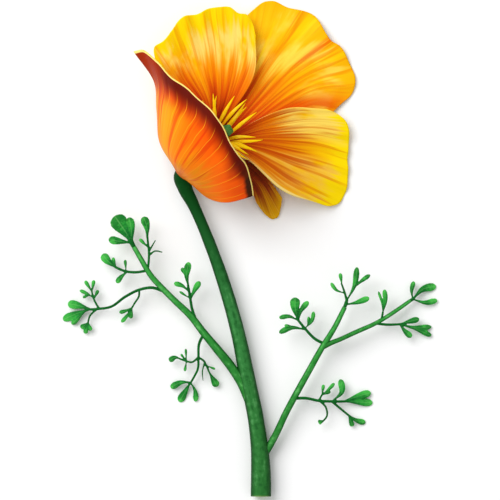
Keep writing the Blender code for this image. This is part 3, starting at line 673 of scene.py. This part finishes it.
def leaf_look(name, seed):
    """Dark twigs, and lobes that grow lighter towards their tips, with a midrib and side veins."""
    look = Look(name)
    u, v = uv_parts(look)
    place = look.tree.nodes.new("ShaderNodeTexCoord").outputs["Object"]
    patches = look.noise(look.node("ShaderNodeVectorMath", {0: place, "Scale": 260}, 0, operation="SCALE"))
    mottle = look.noise(look.node("ShaderNodeVectorMath", {0: place, "Scale": 1100}, 0, operation="SCALE"))
    veins = look.stretched(u, v, 3.0, 16.0, seed, 2.0)
    tone = look.math("ADD", v, look.math("MULTIPLY", look.math("SUBTRACT", mottle, 0.5), 0.7))
    # Painted shade: each lobe lighter on its left half, seen from its root, and darker on its right half.
    tone = look.math("ADD", tone, look.math("MULTIPLY", look.math("SUBTRACT", u, 0.5), 0.35))
    colour = look.ramp(tone, [(0.0, "0b561c"), (0.30, "12702a"), (0.60, "2a9636"), (0.95, "47b448")])
    dark = look.math("MULTIPLY", look.fade(patches, 0.56, 0.44), 0.72)
    colour = look.blend(dark, colour, linear("0c6322"))
    rib = look.math("MULTIPLY", look.window(u, 0.44, 0.49, 0.51, 0.56), look.fade(v, 0.15, 0.4))
    colour = look.blend(look.math("MULTIPLY", rib, 0.35), colour, linear("7cc870"))
    colour = look.blend(look.math("MULTIPLY", look.fade(veins, 0.56, 0.7), 0.22), colour, linear("6cc466"))
    roughness = look.math("ADD", 0.40, look.math("MULTIPLY", mottle, 0.22))
    return look.close(colour, roughness, look.math("ADD", mottle, veins), strength=0.35)


# ---------------------------------------------------------------- shapes
def ripple(places, lowest, highest, seed):
    """A wavy line between -1 and 1, the same on every run: a few waves of chosen counts."""
    random = np.random.default_rng(seed)
    counts = random.uniform(lowest, highest, 7)
    phases = random.uniform(0, 2 * math.pi, 7)
    waves = np.sin(2 * math.pi * np.multiply.outer(places, counts) + phases)
    return waves.mean(axis=-1) * 1.8


def visible(name, points, faces, uvs, materials, slots=None):
    """A mesh of points in millimetres, with one (u, v) per point."""
    mesh = bpy.data.meshes.new(name)
    mesh.from_pydata([tuple(p) for p in np.array(points) * MM], [], faces)
    for made in materials:
        mesh.materials.append(made)
    if slots is not None:
        mesh.polygons.foreach_set("material_index", slots)
    layer = mesh.uv_layers.new(name="UVMap")
    corners = np.empty(len(mesh.loops), dtype=np.int32)
    mesh.loops.foreach_get("vertex_index", corners)
    layer.data.foreach_set("uv", np.array(uvs, dtype=np.float32)[corners].ravel())
    work = bmesh.new()
    work.from_mesh(mesh)
    bmesh.ops.recalc_face_normals(work, faces=work.faces)
    work.to_mesh(mesh)
    work.free()
    mesh.shade_smooth()
    made = bpy.data.objects.new(name, mesh)
    bpy.context.scene.collection.objects.link(made)
    return made


def stand_in_for(made, node):
    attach(made, "root")
    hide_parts(node)


PETAL_COLUMNS, PETAL_LINES = 150, 90
FOOT_THICKNESS, RIM_THICKNESS = 0.42, 0.30
VEIN_RELIEF, RUFFLE = 0.03, 0.45
TABLE_CLEARANCE = 0.03


def unit(vectors):
    return vectors / np.maximum(np.linalg.norm(vectors, axis=-1, keepdims=True), 1e-9)


def fine_petal(name, seed):
    spec = PETALS[name]
    across = np.linspace(0, 1, PETAL_COLUMNS + 1)
    upwards = np.linspace(0, 1, PETAL_LINES + 1)
    arc = np.linspace(*spec["arc"], PETAL_COLUMNS + 1)
    knots, rows = [0.0], [ring(SEAT - 0.6 * BLOOM_AXIS, spec["seat"], arc)]
    if "throat" in spec:
        knots.append(0.3)
        rows.append(ring(THROAT, spec["throat"], arc))
    for place, points in spec["rows"].items():
        knots.append(place)
        rows.append(along(points, across))
    grid = through(knots, rows, upwards)
    normals = unit(np.cross(np.gradient(grid, axis=0), np.gradient(grid, axis=1)))
    above = THROAT + 14 * BLOOM_AXIS
    if ((above - grid) * normals).sum() < 0:
        normals = -normals
    u, v = np.meshgrid(across, upwards)
    free = np.clip((v - 0.55) / 0.45, 0, 1) ** 1.5 * (1 - np.abs(2 * u - 1) ** 3)
    wave = VEIN_RELIEF * ripple(across, 12, 40, seed) * np.clip(v / 0.4, 0, 1)
    wave += spec.get("ruffle", RUFFLE) * free * ripple(across, 3, 9, seed + 1)
    middle = grid + wave[..., None] * normals
    half = (FOOT_THICKNESS + (RIM_THICKNESS - FOOT_THICKNESS) * v)[..., None] / 2
    inside, outside = middle + half * normals, middle - half * normals
    for sheet, lowest in ((inside, TABLE_CLEARANCE), (outside, TABLE_CLEARANCE)):
        sheet[..., 2] = np.maximum(sheet[..., 2], lowest)
    upper = np.where(normals[..., 2:3] > 0, inside, outside)
    lower = np.where(normals[..., 2:3] > 0, outside, inside)
    upper[..., 2] = np.maximum(upper[..., 2], lower[..., 2] + 0.2 * np.abs(normals[..., 2]))
    inside = np.where(normals[..., 2:3] > 0, upper, lower)
    outside = np.where(normals[..., 2:3] > 0, lower, upper)
    wide, tall = PETAL_COLUMNS + 1, PETAL_LINES + 1
    sheet_faces = [
        (i * wide + j, i * wide + j + 1, (i + 1) * wide + j + 1, (i + 1) * wide + j)
        for i in range(PETAL_LINES)
        for j in range(PETAL_COLUMNS)
    ]
    count = wide * tall
    border = (
        list(range(wide))
        + [i * wide + wide - 1 for i in range(1, tall)]
        + list(range(count - 2, count - wide - 1, -1))
        + [i * wide for i in range(tall - 2, 0, -1)]
    )
    faces = sheet_faces + [tuple(k + count for k in reversed(f)) for f in sheet_faces]
    slots = [0] * len(sheet_faces) + [1] * len(sheet_faces)
    for start, end in zip(border, border[1:] + border[:1]):
        faces.append((start, end, end + count, start + count))
        slots.append(2)
    uvs = np.column_stack([u.ravel(), v.ravel()])
    own = PETAL_LOOKS[name]
    plain = PETAL_LOOKS["petal_upper_right"]
    if name == "petal_front":
        inner, outer = petal_look(name + "_inside", plain["ramp"], plain["layers"][:2], seed), own
        outer = petal_look(name + "_outside", own["ramp"], own["layers"], seed, own["veins"], 0.15)
    else:
        inner = petal_look(name + "_inside", own["ramp"], own["layers"], seed)
        outer = petal_look(name + "_outside", own["ramp"], own["layers"][:2], seed + 5)
    looks = [inner, outer, rim_highlight_look(name + "_rim", RIM_HIGHLIGHT_COLOUR)]
    points = np.concatenate([inside.reshape(-1, 3), outside.reshape(-1, 3)])
    made = visible(name + "_fine", points, faces, np.concatenate([uvs, uvs]), looks, slots)
    stand_in_for(made, name)


def loft(line, widths, thicknesses, sides, ribs=0.0, rib_count=5, relief=None):
    """Ovals along a line. Gives points, faces and (u, v): round it and along it. Ends are closed."""
    line = np.array(line)
    ahead = unit(np.gradient(line, axis=0))
    side = unit(np.cross((0, 0, 1), ahead))
    top = np.cross(ahead, side)
    turn = np.linspace(0, 2 * math.pi, sides, endpoint=False)
    bulge = 1 + ribs * np.cos(rib_count * turn)[None, :] + (0 if relief is None else relief)
    wide = (np.cos(turn)[None, :] * bulge * widths[:, None] / 2)[..., None] * side[:, None]
    high = (np.sin(turn)[None, :] * bulge * thicknesses[:, None] / 2)[..., None] * top[:, None]
    points = (line[:, None] + wide + high).reshape(-1, 3)
    rows = len(line)
    faces = [
        (i * sides + j, i * sides + (j + 1) % sides, (i + 1) * sides + (j + 1) % sides, (i + 1) * sides + j)
        for i in range(rows - 1)
        for j in range(sides)
    ]
    points = np.concatenate([points, line[:1], line[-1:]])
    first, last = rows * sides, rows * sides + 1
    for j in range(sides):
        faces.append((j, first, (j + 1) % sides))
        faces.append(((rows - 1) * sides + (j + 1) % sides, last, (rows - 1) * sides + j))
    spin = np.abs(np.linspace(0, 2, sides, endpoint=False) - 1)
    u, v = np.meshgrid(spin, np.linspace(0, 1, rows))
    uvs = np.concatenate([np.column_stack([u.ravel(), v.ravel()]), [[0.5, 0], [0.5, 1]]])
    return points, faces, uvs


def fine_tube(node, line, samples, sides, look, relief_depth=0.018, seed=0):
    """A stem or stalk with shallow ridges along it."""
    line = along(line, np.linspace(0, 1, samples))
    turn = np.linspace(0, 1, sides, endpoint=False)
    random = np.random.default_rng(seed)
    ridges = sum(np.cos(2 * math.pi * (n * turn + random.uniform())) for n in (7, 11, 16)) / 3
    swell = ripple(np.linspace(0, 1, samples), 4, 14, seed + 2) * 0.5
    relief = relief_depth * (ridges[None, :] + swell[:, None])
    points, faces, uvs = loft(line[:, :3], line[:, 3], line[:, 3], sides, relief=relief)
    points[:, 2] = np.maximum(points[:, 2], TABLE_CLEARANCE)
    stand_in_for(visible(node + "_fine", points, faces, uvs, [look]), node)


CUT_FACE = [(0.0, "9ab86a"), (0.0004, "7ea858"), (0.002, "2a6e2e")]
STEM_RAMP = CUT_FACE + [(0.3, "2e7434"), (0.55, "347c3c"), (0.72, "1c5c26"), (0.88, "0a4616"), (1.0, "023c0e")]
STALK_RAMP = [(0.0, "2c7a30"), (0.5, "2f8a36"), (1.0, "3a9c40")]
LEAF_STEP = 0.17
LEAF_SECTIONS = 26
LOBE_SWELL = [0, 0.2, 0.4, 0.6, 0.78, 0.9, 0.97, 1], [0.24, 0.34, 0.60, 0.90, 1.05, 0.92, 0.60, 0.25]


def fine_sprig(name, look):
    """Twigs and lobes grown together into one skin."""
    spec = SPRIGS[name]
    places = np.linspace(0, 1, LEAF_SECTIONS)
    points, faces, spines = [], [], []
    total = 0

    def keep(line, widths, thicknesses, sides):
        nonlocal total
        some, made, _ = loft(line, widths, thicknesses, sides)
        points.append(some)
        faces.extend(tuple(k + total for k in face) for face in made)
        total += len(some)

    for twig, first, last in spec["twigs"]:
        line = lifted(along(twig, places), spec)
        widths = np.linspace(first, last, LEAF_SECTIONS)
        keep(line, widths, widths, 12)
        spines.append((line, widths, False))
    for k, (lobe, width) in enumerate(spec["lobes"]):
        line = lifted(along(lobe, places), spec)
        line[:, 2] += LOBE_TIP_RISES[k % 3] * places
        swell = np.interp(places, *LOBE_SWELL)
        depth = np.interp(places, [0, 0.4, 0.8, 1], [0.6, 0.8, 0.75, 0.3])
        widths = np.maximum(swell * width, 0.5 * depth)
        keep(line, widths, depth, 16)
        spines.append((line, widths, True))
    rough = bpy.data.meshes.new(name)
    rough.from_pydata([tuple(p) for p in np.concatenate(points) * MM], [], faces)
    shape = bpy.data.objects.new(name + "_rough", rough)
    bpy.context.scene.collection.objects.link(shape)
    skin = shape.modifiers.new("skin", "REMESH")
    skin.mode = "VOXEL"
    skin.voxel_size = LEAF_STEP * MM
    relax = shape.modifiers.new("relax", "SMOOTH")
    relax.factor = 0.5
    relax.iterations = 3
    bpy.context.view_layer.update()
    evaluated = shape.evaluated_get(bpy.context.evaluated_depsgraph_get())
    mesh = bpy.data.meshes.new_from_object(evaluated)
    bpy.data.objects.remove(shape)
    spots = np.empty(len(mesh.vertices) * 3)
    mesh.vertices.foreach_get("co", spots)
    spots = spots.reshape(-1, 3) / MM
    spots[:, 2] = np.maximum(spots[:, 2], TABLE_CLEARANCE)
    centre = np.concatenate([line for line, _, _ in spines])
    half = np.concatenate([widths for _, widths, _ in spines]) / 2
    sideways = np.concatenate([unit(np.cross((0, 0, 1), np.gradient(line, axis=0))) for line, _, _ in spines])
    far = np.concatenate([np.full(LEAF_SECTIONS, 0.0 if lobed else 0.15) for _, _, lobed in spines])
    away = np.linalg.norm(spots[:, None, :2] - centre[None, :, :2], axis=2) / np.maximum(half, 0.3) + far
    nearest = away.argmin(axis=1)
    offset = ((spots - centre[nearest]) * sideways[nearest]).sum(axis=1) / half[nearest]
    v = np.concatenate([places * lobed for _, _, lobed in spines])[nearest]
    u = 0.5 + 0.5 * np.clip(offset, -1, 1)
    skin_faces = [tuple(face.vertices) for face in mesh.polygons]
    made = visible(name + "_fine", spots, skin_faces, np.column_stack([u, v]), [look])
    bpy.data.meshes.remove(mesh)
    stand_in_for(made, name)


# ---------------------------------------------------------------- the flower
stem_look = grown_look("stem", "14501e", STEM_RAMP, "5aa05e", 2.0, 5.0, 9.0, side_shade="063a10", glow=0.6, fading=(0.85, 0.5))
stalk_look = grown_look("stalk", "1b6a24", STALK_RAMP, "6cc06a", 5.0, 4.0, 6.0, side_shade="0a5018", glow=0.6)
fine_tube("flower_stem", STEM + [(-19.9, 23.6, 6.0, 4.6)], 220, 48, stem_look, seed=3)
LEFT_ROOT = [(-0.4, -45.5, 3.6, 2.4), (-2.8, -39.4, 3.7, 2.9)]
RIGHT_ROOT = [(4.3, -61.5, 3.2, 2.2), (6.0, -58.6, 3.3, 2.2)]
FORK_ROOT = (21.6, -29.2, 5.1, 1.7)
fine_tube("left_leaf_stalk", LEFT_ROOT + LEFT_STALK, 90, 20, stalk_look, seed=5)
fine_tube("right_leaf_stalk", RIGHT_ROOT + RIGHT_STALK[1:], 90, 20, stalk_look, seed=7)
fine_tube("right_leaf_fork", [FORK_ROOT] + FORK_STALK, 70, 18, stalk_look, seed=9)

places = np.linspace(-1.6, 1.5, 24)
widths = np.interp(places, [-1.6, -1.3, -0.7, 0.2, 1.0, 1.5], [0.9, 2.2, 3.6, 4.5, 4.6, 4.0])
points, faces, uvs = loft(SEAT + places[:, None] * BLOOM_AXIS, widths, widths, 40, 0.02, 8)
stand_in_for(visible("receptacle_fine", points, faces, uvs, [stem_look]), "receptacle")

for k, petal_name in enumerate(PETALS):
    fine_petal(petal_name, 20 + 11 * k)

PISTIL_RAMP = [(0.0, "7a8a20"), (0.55, "44701c"), (0.8, "2c5c1c"), (0.93, "2f7034"), (1.0, "4c8a44")]
pistil_look = grown_look("pistil", "1c4416", PISTIL_RAMP, "5c9a50", 7.0, 5.0, 3.0, glow=0.4)
line = along(PISTIL, np.linspace(0, 1, 60))
points, faces, uvs = loft(line[:, :3], line[:, 3], line[:, 3], 50, 0.09)
stand_in_for(visible("pistil_fine", points, faces, uvs, [pistil_look]), "pistil")

STAMEN_RAMP = [(0.0, "a84400"), (0.45, "dc6c00"), (0.58, "f4a400"), (0.70, "fccc00"), (1.0, "ffe000")]
stamen_look = grown_look("stamen", "f6b800", STAMEN_RAMP, "ffec50", 9.0, 5.0, 4.0)
STAMEN_BOWS = (0.45, -0.3, 0.55, 0.25)
count = len(STAMEN_TIPS)
places = np.linspace(0, 1, 34)
turns = 135 - np.arange(count) * 360 / count
starts, collars = ring(STAMEN_SEAT, STAMEN_SEAT_RADIUS, turns), ring(STAMEN_COLLAR, STAMEN_COLLAR_RADIUS, turns)
widths = np.interp(places, [0, 0.55, 0.64, 0.76, 0.9, 1], [0.28, 0.45, 0.85, 1.15, 0.7, 0.10])
thicknesses = np.interp(places, [0, 0.55, 0.8, 1], [0.28, 0.34, 0.5, 0.10])
for k, tip in enumerate(STAMEN_TIPS):
    line = along([starts[k], collars[k], tip], places)
    sideways = unit(np.cross((0, 0, 1), tip - collars[k]))
    line = line + STAMEN_BOWS[k % 4] * np.outer(np.sin(math.pi * np.clip((places - 0.55) / 0.45, 0, 1)), sideways)
    points, faces, uvs = loft(line, widths, thicknesses, 16)
    made = visible(f"stamen_{k + 1:02d}_fine", points, faces, uvs, [stamen_look])
    stand_in_for(made, f"stamen_{k + 1:02d}")

for k, sprig_name in enumerate(SPRIGS):
    fine_sprig(sprig_name, leaf_look(sprig_name, 3.0 + k))

# ---------------------------------------------------------------- table, light, camera
FLOOR_SIZE = 8.0
LIGHT_HEIGHT, LIGHT_SIZE, LIGHT_WATTS = 1.0, 1.1, 18.0
WORLD_STRENGTH = 0.62
CAMERA_HEIGHT, CAMERA_LENS, SENSOR = 1.672, 400, 36

floor_mesh = bpy.data.meshes.new("table")
half = FLOOR_SIZE / 2
floor_mesh.from_pydata([(-half, -half, 0), (half, -half, 0), (half, half, 0), (-half, half, 0)], [], [(0, 1, 2, 3)])
table = bpy.data.objects.new("table", floor_mesh)
bpy.context.scene.collection.objects.link(table)
table_look = Look("table", specular=0.1)
table_look.shader.inputs["Base Color"].default_value = (0.95, 0.95, 0.95, 1)
table_look.shader.inputs["Roughness"].default_value = 0.9
floor_mesh.materials.append(table_look.material)

world = bpy.data.worlds.new("studio")
world.use_nodes = True
background = world.node_tree.nodes["Background"]
background.inputs["Color"].default_value = (1, 1, 1, 1)
seen = world.node_tree.nodes.new("ShaderNodeLightPath").outputs["Is Camera Ray"]
level = world.node_tree.nodes.new("ShaderNodeMapRange")
level.inputs["To Min"].default_value = WORLD_STRENGTH
level.inputs["To Max"].default_value = 1.0
world.node_tree.links.new(seen, level.inputs["Value"])
world.node_tree.links.new(level.outputs[0], background.inputs["Strength"])
bpy.context.scene.world = world

lamp = bpy.data.lights.new("key", "AREA")
lamp.energy = LIGHT_WATTS
lamp.size = LIGHT_SIZE
key = bpy.data.objects.new("key", lamp)
key.location = (-0.75, 0.65, LIGHT_HEIGHT)
key.rotation_euler = (math.radians(-31), math.radians(-34), 0)
bpy.context.scene.collection.objects.link(key)

lens = bpy.data.cameras.new("camera")
lens.lens = CAMERA_LENS
lens.sensor_width = SENSOR
lens.clip_start = 0.01
camera = bpy.data.objects.new("camera", lens)
camera.location = (0, 0, CAMERA_HEIGHT)
bpy.context.scene.collection.objects.link(camera)
bpy.context.scene.camera = camera
bpy.context.scene.view_settings.view_transform = "Standard"
